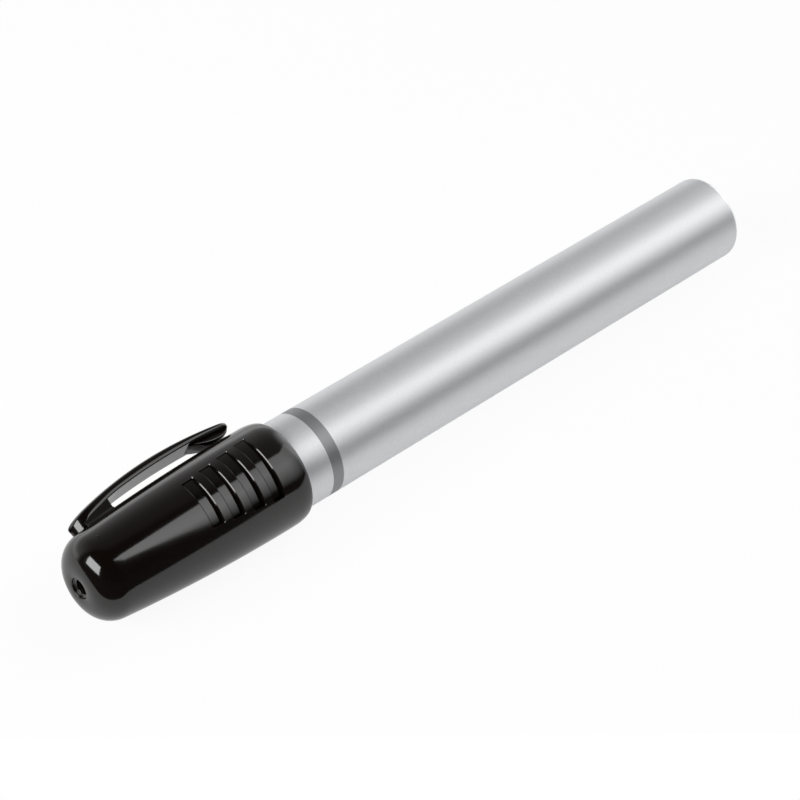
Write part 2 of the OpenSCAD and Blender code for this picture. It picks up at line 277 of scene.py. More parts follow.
def satin_aluminium(barrel):
    """Impact-extruded aluminium, polished round and round and then lacquered: soft wide bands of light
    along the tube, with fine marks round it, and one plain ring of grey ink."""
    made, tree = material("satin_aluminium")
    mark_width = 0.2 * MM
    mark_length = 0.45 * MM
    place = add(tree, "ShaderNodeTexCoord")
    marks_place = add(
        tree, "ShaderNodeMapping", {"Scale": (1 / mark_width, 1 / mark_length, 1 / mark_length)},
        {"Vector": place.outputs["Object"]})
    marks = add(
        tree, "ShaderNodeTexNoise", {"Scale": 1, "Detail": 3, "Roughness": 0.6},
        {"Vector": marks_place.outputs["Vector"]})
    axes = add(tree, "ShaderNodeSeparateXYZ", links={"Vector": place.outputs["Object"]})
    ring_x = CAP_END + CAP_LEN + barrel.ring_place
    ring = add(
        tree, "ShaderNodeMath", {1: ring_x, 2: barrel.ring_width / 2}, {0: axes.outputs["X"]},
        operation="COMPARE")
    tint = spread(tree, marks, low=0.94, high=1.04)
    metal = add(
        tree, "ShaderNodeMix", {"A": rgba(barrel.metal), "B": rgba(barrel.ink)},
        {"Factor": ring.outputs[0]}, data_type="RGBA")
    marked = add(
        tree, "ShaderNodeVectorMath", links={0: metal.outputs["Result"], 1: tint.outputs["Result"]},
        operation="MULTIPLY")
    rough = spread(tree, marks, low=0.5, high=0.58)
    relief = add(
        tree, "ShaderNodeBump", {"Strength": 0.15, "Distance": 0.01 * MM},
        {"Height": marks.outputs["Fac"]})
    round_way = add(tree, "ShaderNodeTangent", direction_type="RADIAL", axis="X")
    shader = add(
        tree, "ShaderNodeBsdfPrincipled",
        {"Metallic": 1, "Anisotropic": 0.5, "Anisotropic Rotation": 0.25},
        {"Base Color": marked.outputs["Vector"], "Roughness": rough.outputs["Result"],
         "Normal": relief.outputs["Normal"], "Tangent": round_way.outputs["Tangent"]})
    add(tree, "ShaderNodeOutputMaterial", links={"Surface": shader.outputs["BSDF"]})
    return made


def gloss_plastic(name, tint, roughness, ripple):
    """Moulded plastic. Styrene from a polished mould is deep black with crisp reflections, which a faint
    waviness of the moulding bends a little. Softer plastics are duller and wavier."""
    made, tree = material(name)
    wave = 2.2 * MM
    place = add(tree, "ShaderNodeTexCoord")
    waves = add(
        tree, "ShaderNodeTexNoise", {"Scale": 1 / wave, "Detail": 1},
        {"Vector": place.outputs["Object"]})
    haze = add(
        tree, "ShaderNodeTexNoise", {"Scale": 1 / (4 * wave), "Detail": 3},
        {"Vector": place.outputs["Object"]})
    rough = spread(tree, haze, low=roughness * 0.8, high=roughness * 1.2)
    relief = add(
        tree, "ShaderNodeBump", {"Strength": ripple, "Distance": 0.01 * MM},
        {"Height": waves.outputs["Fac"]})
    shader = add(
        tree, "ShaderNodeBsdfPrincipled", {"Base Color": rgba(tint), "IOR": 1.55},
        {"Roughness": rough.outputs["Result"], "Normal": relief.outputs["Normal"]})
    add(tree, "ShaderNodeOutputMaterial", links={"Surface": shader.outputs["BSDF"]})
    return made


def bonded_fibre(name, tint):
    """Polyester fibres bonded into a rod and soaked with ink: near black and dull, with fine lines
    along it."""
    made, tree = material(name)
    fibre_width = 0.12 * MM
    fibre_length = 3 * MM
    place = add(tree, "ShaderNodeTexCoord")
    lie = add(
        tree, "ShaderNodeMapping", {"Scale": (1 / fibre_length, 1 / fibre_width, 1 / fibre_width)},
        {"Vector": place.outputs["Object"]})
    fibres = add(
        tree, "ShaderNodeTexNoise", {"Scale": 1, "Detail": 2}, {"Vector": lie.outputs["Vector"]})
    shade = spread(tree, fibres, low=0.6, high=1.8)
    tinted = add(
        tree, "ShaderNodeVectorMath", {0: tuple(tint)}, {1: shade.outputs["Result"]},
        operation="MULTIPLY")
    relief = add(
        tree, "ShaderNodeBump", {"Strength": 0.6, "Distance": 0.05 * MM},
        {"Height": fibres.outputs["Fac"]})
    shader = add(
        tree, "ShaderNodeBsdfPrincipled", {"Roughness": 0.85, "Sheen Weight": 0.2},
        {"Base Color": tinted.outputs["Vector"], "Normal": relief.outputs["Normal"]})
    add(tree, "ShaderNodeOutputMaterial", links={"Surface": shader.outputs["BSDF"]})
    return made


def clear_film(tint):
    """Thin polypropylene film: clear, slightly milky and glossy."""
    made, tree = material("clear_film")
    crease = 3 * MM
    place = add(tree, "ShaderNodeTexCoord")
    creases = add(
        tree, "ShaderNodeTexNoise", {"Scale": 1 / crease, "Detail": 2},
        {"Vector": place.outputs["Object"]})
    relief = add(
        tree, "ShaderNodeBump", {"Strength": 0.2, "Distance": 0.05 * MM},
        {"Height": creases.outputs["Fac"]})
    shader = add(
        tree, "ShaderNodeBsdfPrincipled",
        {"Base Color": rgba(tint), "Roughness": 0.15, "IOR": 1.49, "Transmission Weight": 0.8},
        {"Normal": relief.outputs["Normal"]})
    add(tree, "ShaderNodeOutputMaterial", links={"Surface": shader.outputs["BSDF"]})
    return made


def turned(outline, closed=False):
    """A mesh turned round the marker's axis from an outline of (along, radius) points."""
    bm = bmesh.new()
    verts = [bm.verts.new((radius, 0, along)) for along, radius in outline]
    pairs = list(zip(verts, verts[1:]))
    if closed:
        pairs.append((verts[-1], verts[0]))
    edges = [bm.edges.new(pair) for pair in pairs]
    bmesh.ops.spin(
        bm, geom=verts + edges, cent=(0, 0, 0), axis=(0, 0, 1), angle=math.tau, steps=SPIN_STEPS,
        use_merge=True, use_duplicate=False)
    bmesh.ops.remove_doubles(bm, verts=bm.verts, dist=MERGE)
    bmesh.ops.recalc_face_normals(bm, faces=bm.faces)
    return bm


def soften(bm, edges, offset, segments=3):
    """Rounds edges, or with one segment chamfers them."""
    bmesh.ops.bevel(
        bm, geom=edges, offset=offset, offset_type="OFFSET", segments=segments, profile=0.5,
        affect="EDGES", material=-1, clamp_overlap=True)


def sharp_edges(bm):
    """The edges where two faces meet at a clear corner."""
    return [edge for edge in bm.edges if edge.is_manifold and edge.calc_face_angle() > SHARP]


def piece(name, bm, finish):
    """Lays a finished mesh into the frame as a named object with its finish."""
    bmesh.ops.transform(bm, matrix=LAID, verts=bm.verts)
    mesh = bpy.data.meshes.new(name)
    bm.to_mesh(mesh)
    bm.free()
    mesh.shade_smooth()
    mesh.set_sharp_from_angle(angle=SHARP)
    made = bpy.data.objects.new(name, mesh)
    bpy.context.scene.collection.objects.link(made)
    mesh.materials.append(finish)
    return made


def extruded(bm, faces):
    """Extrudes faces, takes the old ones away, and returns the new faces and vertices."""
    drawn = bmesh.ops.extrude_face_region(bm, geom=faces)["geom"]
    bmesh.ops.delete(bm, geom=faces, context="FACES")
    return ([item for item in drawn if isinstance(item, bmesh.types.BMFace)],
            [item for item in drawn if isinstance(item, bmesh.types.BMVert)])


def loft(bm, stations):
    """Draws a bar through stations, by extruding a grid three faces wide from one station to the next.
    A station is a list of rows, each (along, out, half width, edge, fall): edge is the width of a row's
    outer faces, and fall is how much lower its ends lie."""
    high = len(stations[0]) - 1
    wide = 3
    old = set(bm.verts)
    grid = bmesh.ops.create_grid(bm, x_segments=wide, y_segments=high, size=1)
    faces = list(dict.fromkeys(face for vert in grid["verts"] for face in vert.link_faces))
    start = bmesh.ops.duplicate(bm, geom=faces)["geom"]
    bmesh.ops.reverse_faces(bm, faces=[item for item in start if isinstance(item, bmesh.types.BMFace)])
    for _ in stations[1:]:
        faces, moved = extruded(bm, faces)
        bmesh.ops.translate(bm, vec=(0, 0, 1), verts=moved)
    for vert in bm.verts:
        if vert not in old:
            row = round((vert.co.y + 1) / 2 * high)
            column = round((vert.co.x + 1) / 2 * wide)
            along, out, half, edge, fall = stations[round(vert.co.z)][row]
            inner = max(half - edge, half / 2)
            side = (-half, -inner, inner, half)[column]
            vert.co = (out - fall if column in (0, wide) else out, side, along)
    bmesh.ops.remove_doubles(bm, verts=[vert for vert in bm.verts if vert not in old], dist=MERGE)
    bmesh.ops.recalc_face_normals(bm, faces=bm.faces)


def evened(made):
    """Keeps broad faces flat beside their rounded edges."""
    made.modifiers.new("weighted_normals", "WEIGHTED_NORMAL").keep_sharp = True


def smoothed(made):
    """Rounds a coarse bar with a subdivision surface."""
    rounding = made.modifiers.new("rounding", "SUBSURF")
    rounding.levels = 2
    rounding.render_levels = 2


class MARKER_OT_barrel(bpy.types.Operator):
    """Turns the barrel"""
    bl_idname = "marker.barrel"
    bl_label = "Barrel"

    def execute(self, context):
        size = context.scene.marker_barrel
        end = -CAP_END
        front = end - BARREL_LEN
        shoulder = CAP_LEN + size.rim_gap
        rim_r = BARREL_R - size.rim_drop
        bore_r = BARREL_R - size.wall
        bm = turned([
            (end, 0),
            (end, BARREL_R / 2),
            (end, BARREL_R),
            (shoulder, BARREL_R),
            (shoulder - size.rim_drop, rim_r),
            (front, rim_r),
            (front, bore_r),
            (end - size.floor, bore_r),
            (end - size.floor, 0),
        ])
        end_edges = [
            edge for edge in sharp_edges(bm)
            if all(vert.co.z > end - MERGE for vert in edge.verts)]
        soften(bm, end_edges, size.edge, segments=8)
        tube = piece("barrel_tube", bm, satin_aluminium(size))
        evened(tube)
        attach(tube, "marker_body")
        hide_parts("barrel")
        return {"FINISHED"}


def cap_side(size, along):
    """Radius of the cap's outside."""
    return BELLY_R - (along - CAP_LEN + size.belly) ** 2 / (2 * size.side_arc)


def slot_middles(size):
    """Where the grip slots are, from the mouth back."""
    return [CAP_LEN - size.slot_from_mouth - i * size.slot_pitch for i in range(size.slot_count)]


# Place of the grip slots round from the clip, half the first one's length, and how much shorter each next
# one is at both ends, in degrees
SLOT_ANGLE = 93
SLOT_HALF = 39
SLOT_TAPER = 3
# Steps in a round stretch of an outline
ARC_STEPS = 12
# Distance from the cap's outside within which a vertex lies on it
SKIN = 10 * MERGE


def cap_outline(size):
    """The cap's section, from the vent hole over the nose to the mouth and back inside."""
    slope = math.atan((CAP_LEN - size.belly - size.nose) / size.side_arc)
    join = size.nose * (1 - math.sin(slope))
    flat_r = cap_side(size, join) - size.nose * math.cos(slope)
    turn = [i / ARC_STEPS * (math.pi / 2 - slope) for i in range(ARC_STEPS + 1)]
    nose = [(size.nose * (1 - math.cos(a)), flat_r + size.nose * math.sin(a)) for a in turn]
    mouth_from = CAP_LEN - size.mouth_length
    edges = sorted(
        middle + side * size.slot_width / 2 for middle in slot_middles(size) for side in (-1, 1))
    plain = [join + (edges[0] - join) * i / ARC_STEPS for i in range(1, ARC_STEPS)]
    side = [(along, cap_side(size, along)) for along in plain + edges + [mouth_from]]
    quarter = [i / ARC_STEPS * math.pi / 2 for i in range(1, ARC_STEPS + 1)]
    mouth = [
        (mouth_from + size.mouth_length * math.sin(a),
         cap_side(size, mouth_from) - size.mouth_drop * (1 - math.cos(a)))
        for a in quarter]
    inner_r = size.nose - size.wall
    thin = [
        (size.nose - inner_r * math.cos(a), flat_r + inner_r * math.sin(a)) for a in reversed(turn)]
    meets = CAP_LEN - size.belly - math.sqrt(2 * size.side_arc * (BELLY_R - size.wall - size.bore))
    wall = [
        (along, cap_side(size, along) - size.wall)
        for along in (meets + (size.nose - meets) * i / ARC_STEPS for i in range(1, ARC_STEPS))]
    step = CAP_LEN - size.step
    inside = [(CAP_LEN, size.skirt), (step, size.skirt), (step, size.bore), (meets, size.bore)]
    hole = [
        (size.wall, size.vent_bore / 2),
        (size.vent_sink, size.vent_bore / 2),
        (size.vent_sink, size.vent / 2),
        (0, size.vent / 2),
    ]
    return hole + nose + side + mouth + inside + wall + thin


def on_skin(size, vert):
    """Whether a vertex lies on the cap's outside."""
    return cap_side(size, vert.co.z) - vert.co.xy.length < SKIN


def floor_level(size, skin_r, out):
    """How far a slot's floor lies to the side of the axis. It is deeper toward the slot's lower end."""
    floor_r = skin_r + size.slot_flat
    return skin_r - size.slot_depth - floor_r + math.sqrt(floor_r ** 2 - (out - size.slot_shift) ** 2)


def slot_rims(bm, size, toward_mouth):
    """The slots' edges on the cap's skin: those toward the mouth, or the others."""
    middles = slot_middles(size)
    first = middles[-1] - size.slot_width
    last = middles[0] + size.slot_width / 2 + MERGE
    rims = []
    for edge in sharp_edges(bm):
        if all(first < vert.co.z < last and on_skin(size, vert) for vert in edge.verts):
            is_lip = all(
                any(abs(vert.co.z - middle - size.slot_width / 2) < MERGE for middle in middles)
                for vert in edge.verts)
            if is_lip == toward_mouth:
                rims.append(edge)
    return rims


def cut_slots(bm, size):
    """Sinks the grip slots straight into both sides of the cap, rounds the lower ends of their floors,
    and chamfers their edges: those toward the mouth most."""
    floors = set()
    for i, middle in enumerate(slot_middles(size)):
        half = SLOT_HALF - i * SLOT_TAPER
        for side in (-1, 1):
            faces = []
            for face in bm.faces:
                place = face.calc_center_median()
                angle = math.degrees(math.atan2(place.y, place.x))
                outside = place.xy.length > cap_side(size, place.z) - size.wall / 2
                within = abs(place.z - middle) < size.slot_width / 2
                if outside and within and abs(angle - side * SLOT_ANGLE) < half:
                    faces.append(face)
            floor, sunk = extruded(bm, faces)
            for vert in sunk:
                vert.co.y = side * floor_level(size, vert.co.xy.length, vert.co.x)
            floors.update(floor)
    ends = [
        edge for edge in sharp_edges(bm)
        if any(face in floors for face in edge.link_faces) and edge.verts[0].co.x < 0
        and abs(edge.verts[0].co.z - edge.verts[1].co.z) > size.slot_width / 2]
    soften(bm, ends, size.slot_end, segments=4)
    soften(bm, slot_rims(bm, size, toward_mouth=False), size.slot_rim, segments=1)
    soften(bm, slot_rims(bm, size, toward_mouth=True), size.slot_lip, segments=1)


def add_ribs(bm, size, front):
    """Adds the ribs that hold the inner cap."""
    seal_r = front.snout + front.seal_gap + front.seal_wall + front.fit
    reach = cap_side(size, size.nose + size.rib_length) - size.wall / 2
    middle = Matrix.Translation(((seal_r + reach) / 2, 0, size.nose + size.rib_length / 2))
    shape = Matrix.Diagonal((reach - seal_r, size.rib_thickness, size.rib_length, 1))
    for i in range(size.rib_count):
        turn = Matrix.Rotation(math.tau * i / size.rib_count, 4, "Z")
        bmesh.ops.create_cube(bm, size=1, matrix=turn @ middle @ shape)


class MARKER_OT_cap(bpy.types.Operator):
    """Turns the cap and sinks its grip slots"""
    bl_idname = "marker.cap"
    bl_label = "Cap"

    def execute(self, context):
        size = context.scene.marker_cap
        bm = turned(cap_outline(size), closed=True)
        add_ribs(bm, size, context.scene.marker_front)
        soften(bm, sharp_edges(bm), size.edge, segments=3)
        cut_slots(bm, size)
        finish = gloss_plastic("moulded_styrene", size.plastic, roughness=0.1, ripple=0.05)
        cap = piece("cap_moulding", bm, finish)
        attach(cap, "cap")
        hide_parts("cap_shell")
        return {"FINISHED"}


def sag(radius, run):
    """How far an arc falls over a run from its highest place."""
    return radius - math.sqrt(radius ** 2 - run ** 2)


def arm_top(clip, cap, along):
    """Height of the clip's outer face over the axis."""
    crest = HINGE_ALONG + clip.reach - clip.crest_from_tip
    return cap_side(cap, crest) + clip.crest_rise - sag(clip.outer_arc, along - crest)


# Length of the root's thickening past the hinge, in its own heights
ROOT_RUN = 3


def arm_under(clip, cap, along):
    """Height of the clip's inner face over the axis. The strip is thicker over the root and thins to
    the tip."""
    tip = HINGE_ALONG + clip.reach
    hollow = tip - clip.hollow_from_tip
    level = arm_top(clip, cap, tip - clip.crest_from_tip) - clip.thickness
    if along > hollow:
        full = arm_top(clip, cap, hollow) - level
        share = (along - hollow) / clip.hollow_from_tip
        return arm_top(clip, cap, along) - full + share * (full - clip.tip_thickness)
    thick_end = HINGE_ALONG + ROOT_RUN * clip.root_thickening
    share = max(0, 1 - (max(along - clip.web_front, 0) / (thick_end - clip.web_front)) ** 2)
    return level - sag(clip.inner_arc, along - hollow) - share * clip.root_thickening


# Share of the crown's height that stands over the outer face's curve
CROWN_OVER = 0.6


def bar(clip, along, bottom, peak, half):
    """One station of the clip, with its rounded lower edges, its sides and its crowned outer face."""
    low = min(clip.round, (peak - bottom) / 4)
    crown = min(clip.crown, (peak - bottom) / 3)
    ridge = peak + CROWN_OVER * crown
    return [
        (along, bottom, half - low / 2, low, 0),
        (along, bottom + low, half, low, 0),
        (along, ridge - crown - low, half, low, 0),
        (along, ridge, half - low / 2, clip.crown_edge, crown),
    ]


# Stations in each rounded corner of the strip, and faces along its arm between them
CORNER_STATIONS = 4
ARM_STATIONS = 11


def corner(radius, half):
    """How far a corner's stations lie back and draw the sides in, and how far back the corner ends.
    A radius over half the width makes a pointed arch."""
    start = math.asin(max(0, 1 - half / radius))
    turns = [start + (math.pi / 2 - start) * i / CORNER_STATIONS for i in range(CORNER_STATIONS)]
    places = [
        (radius * (math.cos(start) - math.cos(turn)), radius * (1 - math.sin(turn))) for turn in turns]
    return places, radius * math.cos(start)


def add_strip(bm, clip, cap):
    """Draws the strip from its pointed front, which is sunk in the cap, to its tip."""
    half = clip.width / 2
    tip = HINGE_ALONG + clip.reach
    sunk = cap_side(cap, clip.front) - cap.wall / 2
    front_places, front_run = corner(clip.front_corner, half)
    tip_places, tip_run = corner(clip.tip_corner, half)
    stations = []
    for back, draw_in in front_places:
        along = clip.front + back
        bottom = sunk if along < clip.web_front else arm_under(clip, cap, along)
        peak = arm_top(clip, cap, along) - clip.front_drop * (draw_in / half) ** 2
        stations.append(bar(clip, along, bottom, peak, half - draw_in))
    first = clip.front + front_run
    last = tip - tip_run
    for i in range(ARM_STATIONS + 1):
        along = first + (last - first) * i / ARM_STATIONS
        stations.append(bar(clip, along, arm_under(clip, cap, along), arm_top(clip, cap, along), half))
    for back, draw_in in reversed(tip_places):
        along = tip - back
        peak = arm_top(clip, cap, along) - clip.tip_thickness / 3 * (draw_in / clip.tip_corner) ** 2
        stations.append(bar(clip, along, arm_under(clip, cap, along), peak, half - draw_in))
    loft(bm, stations)


# Stations of the pad: places along it, depths and widths, as shares of the whole
PAD_STATIONS = (
    (0.0, -0.1, 0.75), (0.04, 0.12, 0.85), (0.13, 0.28, 1), (0.3, 0.62, 1), (0.5, 0.95, 1),
    (0.78, 1, 1), (0.88, 0.8, 0.95), (0.94, 0.4, 0.85), (0.98, -0.1, 0.8))
# How much narrower the pad is at its top, as a share of its width
PAD_LEAN = 0.16


def add_pad(bm, clip, cap):
    """Draws the pad under the tip."""
    tip = HINGE_ALONG + clip.reach
    sole = BELLY_R + clip.pad_gap
    stations = []
    for place, depth, width in PAD_STATIONS:
        along = tip - clip.pad_length * (1 - place)
        under = arm_under(clip, cap, along)
        half = width * clip.pad_width / 2
        rows = bar(clip, along, under - depth * (under - sole), under + clip.tip_thickness / 2, half)
        top = [(*row[:2], row[2] - PAD_LEAN * half, *row[3:]) for row in rows[2:]]
        stations.append(rows[:2] + top)
    loft(bm, stations)


# Stations of the web: heights from the cap to the strip and shares of the fillet's width
WEB_STATIONS = ((-0.35, 1.5), (-0.03, 1.5), (0.08, 0.8), (0.25, 0.6), (0.6, 0.2), (1, -0.3))


def add_web(bm, clip, cap):
    """Draws the web that joins the strip to the cap, with a fillet at its foot."""
    half = clip.width / 2 - clip.web_inset
    begin = clip.web_front
    stations = []
    for height, flare in WEB_STATIONS:
        widening = flare * clip.web_fillet
        last = HINGE_ALONG + clip.web_reach + height * clip.web_lean + widening
        station = []
        for along in (begin, begin + clip.round, last - clip.round, last):
            foot = math.sqrt(cap_side(cap, along) ** 2 - half ** 2)
            reach = arm_under(clip, cap, along) + clip.tip_thickness / 3 - foot
            station.append((along, foot + height * reach, half + widening, clip.round, 0))
        stations.append(station)
    loft(bm, stations)


class MARKER_OT_clip(bpy.types.Operator):
    """Draws the pocket clip with its root and pad"""
    bl_idname = "marker.clip"
    bl_label = "Pocket clip"

    def execute(self, context):
        clip = context.scene.marker_clip
        cap = context.scene.marker_cap
        finish = bpy.data.materials["moulded_styrene"]
        bm = bmesh.new()
        add_strip(bm, clip, cap)
        add_pad(bm, clip, cap)
        strip = piece("clip_strip", bm, finish)
        smoothed(strip)
        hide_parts("pocket_clip")
        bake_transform(strip)
        bm = bmesh.new()
        add_web(bm, clip, cap)
        web = piece("clip_root", bm, finish)
        smoothed(web)
        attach(web, "cap")
        return {"FINISHED"}


def reach_of(node):
    """Where a node begins and ends along the marker."""
    low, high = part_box(node)
    return low.x - CAP_END, high.x - CAP_END


class MARKER_OT_inner_cap(bpy.types.Operator):
    """Turns the inner cap that seals the nib"""
    bl_idname = "marker.inner_cap"
    bl_label = "Inner cap"

    def execute(self, context):
        front = context.scene.marker_front
        pip_end, rim = reach_of("inner_cap")
        end = pip_end + front.pip_height
        bore = front.snout + front.seal_gap
        side = bore + front.seal_wall
        hollow = front.seal_flat - front.seal_floor
        floor = end + front.seal_floor
        bm = turned([
            (pip_end, 0),
            (pip_end, front.pip),
            (end, front.pip),
            (end, front.seal_flat),
            (end + side - front.seal_flat, side),
            (rim, side),
            (rim, bore),
            (floor + bore - hollow, bore),
            (floor, hollow),
            (floor, 0),
        ])
        soften(bm, sharp_edges(bm), front.edge)
        finish = gloss_plastic("moulded_polyethylene", front.seal, roughness=0.35, ripple=0.1)
        cup = piece("inner_cap_cup", bm, finish)
        evened(cup)
        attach(cup, "cap")
        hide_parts("inner_cap")
        return {"FINISHED"}


class MARKER_OT_holder(bpy.types.Operator):
    """Turns the nib holder"""
    bl_idname = "marker.holder"
    bl_label = "Nib holder"

    def execute(self, context):
        front = context.scene.marker_front
        barrel = context.scene.marker_barrel
        end, tail = reach_of("nib_holder")
        rim = -CAP_END - BARREL_LEN
        hole = front.nib + front.fit
        plug = BARREL_R - barrel.wall - front.fit
        shoulder = rim - front.collar_height
        cone = shoulder - front.neck_length
        snap = shoulder - (front.neck_length - front.snap_width) / 2
        bm = turned([
            (end, hole),
            (end, front.snout - front.snout_chamfer),
            (end + front.snout_chamfer, front.snout),
            (cone - front.cone, front.snout),
            (cone, front.neck),
            (snap - front.snap_width, front.neck),
            (snap - front.snap_width, front.neck - front.snap_depth),
            (snap, front.neck - front.snap_depth),
            (snap, front.neck),
            (shoulder, front.neck),
            (shoulder, front.collar),
            (rim, front.collar),
            (rim, plug),
            (tail, plug),
            (tail, hole),
        ], closed=True)
        soften(bm, sharp_edges(bm), front.edge)
        finish = gloss_plastic("moulded_polypropylene", front.holder, roughness=0.3, ripple=0.1)
        holder = piece("nib_holder_moulding", bm, finish)
        evened(holder)
        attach(holder, "marker_body")
        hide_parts("nib_holder")
        return {"FINISHED"}


class MARKER_OT_nib(bpy.types.Operator):
    """Turns the bullet nib"""
    bl_idname = "marker.nib"
    bl_label = "Nib"

    def execute(self, context):
        front = context.scene.marker_front
        end, tail = reach_of("nib")
        quarter = [i / ARC_STEPS * math.pi / 2 for i in range(ARC_STEPS + 1)]
        bullet = [
            (end + front.nib_tip * (1 - math.cos(a)), front.nib * math.sin(a)) for a in quarter]
        bm = turned(bullet + [(tail, front.nib), (tail, 0)])
        soften(bm, sharp_edges(bm), front.edge)
        nib = piece("nib_bullet", bm, bonded_fibre("bonded_polyester", front.fibre))
        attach(nib, "marker_body")
        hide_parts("nib")
        return {"FINISHED"}


class MARKER_OT_ink(bpy.types.Operator):
    """Finishes the reservoir and the film round it"""
    bl_idname = "marker.ink"
    bl_label = "Ink reservoir"

    def execute(self, context):
        front = context.scene.marker_front
        for name, finish in (
                ("reservoir", bonded_fibre("soaked_polyester", front.wad)),
                ("reservoir_wrap", clear_film(front.film))):
            node = frame["nodes"][name]
            node.data.materials.clear()
            node.data.materials.append(finish)
        return {"FINISHED"}


def facing(place, target):
    """The matrix of a lamp or camera at a place that looks at a target."""
    way = (target - place).to_track_quat("-Z", "Y")
    return Matrix.LocRotScale(place, way, None)


def heading(azimuth, elevation):
    """The direction at an azimuth, counted from +Y toward +X, and an elevation, both in degrees."""
    turn = math.radians(azimuth)
    lift = math.radians(elevation)
    return Vector((math.sin(turn) * math.cos(lift), math.cos(turn) * math.cos(lift), math.sin(lift)))


def softbox(name, azimuth, elevation, roll, distance, width, height, radiance, dim=0, rise=0.01):
    """A rectangular lamp that looks at the marker. Dim is the share of its radiance that is taken off
    at its own +X side, and over its lowest share, rise, it fades away."""
    lamp = bpy.data.lights.new(name, "AREA")
    lamp.shape = "RECTANGLE"
    lamp.size = width
    lamp.size_y = height
    lamp.energy = radiance * width * height * math.pi
    made = bpy.data.objects.new(name, lamp)
    bpy.context.scene.collection.objects.link(made)
    target = Vector((CAP_END / 2, 0, 0))
    place = target + heading(azimuth, elevation) * distance
    made.matrix_world = facing(place, target) @ Matrix.Rotation(math.radians(roll), 4, "Z")
    made.visible_camera = False
    lamp.use_nodes = True
    tree = lamp.node_tree
    tree.nodes.clear()
    pane = add(tree, "ShaderNodeNewGeometry")
    axes = add(tree, "ShaderNodeSeparateXYZ", links={"Vector": pane.outputs["Parametric"]})
    sideways = add(
        tree, "ShaderNodeMapRange", {"To Min": 1, "To Max": 1 - dim}, {"Value": axes.outputs["X"]})
    upward = add(
        tree, "ShaderNodeMapRange", {"From Max": rise, "To Max": 1}, {"Value": axes.outputs["Y"]})
    level = add(
        tree, "ShaderNodeMath", links={0: sideways.outputs["Result"], 1: upward.outputs["Result"]},
        operation="MULTIPLY")
    glow = add(tree, "ShaderNodeEmission", links={"Strength": level.outputs[0]})
    add(tree, "ShaderNodeOutputLight", links={"Surface": glow.outputs["Emission"]})


def white_floor(white, shadow, mirrored_shadow):
    """Matt white board. The camera and mirror-like surfaces see it as plain white, mixed with shares of
    the light that falls on it, so that the marker's shadow stays."""
    made, tree = material("white_board")
    rays = add(tree, "ShaderNodeLightPath")
    through = add(
        tree, "ShaderNodeMath",
        links={0: rays.outputs["Is Glossy Ray"], 1: rays.outputs["Is Transmission Ray"]},
        operation="MAXIMUM")
    mirrored = add(
        tree, "ShaderNodeMath", {1: 1 - mirrored_shadow}, {0: through.outputs[0]}, operation="MULTIPLY")
    seen = add(
        tree, "ShaderNodeMath", {1: 1 - shadow}, {0: rays.outputs["Is Camera Ray"]},
        operation="MULTIPLY")
    share = add(
        tree, "ShaderNodeMath", links={0: seen.outputs[0], 1: mirrored.outputs[0]}, operation="MAXIMUM")
    board = add(tree, "ShaderNodeBsdfDiffuse", {"Color": rgba(white)})
    glow = add(tree, "ShaderNodeEmission", {"Color": rgba(white), "Strength": 1})
    mixed = add(
        tree, "ShaderNodeMixShader",
        links={0: share.outputs[0], 1: board.outputs["BSDF"], 2: glow.outputs["Emission"]})
    add(tree, "ShaderNodeOutputMaterial", links={"Surface": mixed.outputs["Shader"]})
    return made


# Light of the far wall at its foot, how fast it dims upward, and what is left at the ceiling
WALL_LEVEL = 1
WALL_BEND = 1.5
CEILING_LEVEL = 0.08
# Light of the strip along the wall's foot, and the elevations where it begins and ends to fade
FOOT_LEVEL = 0.4
FOOT_FADE = (10, 16)
# Light of the glow, the azimuth and elevation of its middle, and its reach, in degrees
GLOW_LEVEL = 2
GLOW_MIDDLE = (82, 22)
GLOW_REACH = 32
# Share of the light on the near side, the azimuth and elevation of its middle, and where it begins and is
# full, as cosines from there
NEAR_SHARE = 0.025
NEAR_MIDDLE = (-145, 0)
NEAR_EDGE = (-0.3, -0.05)


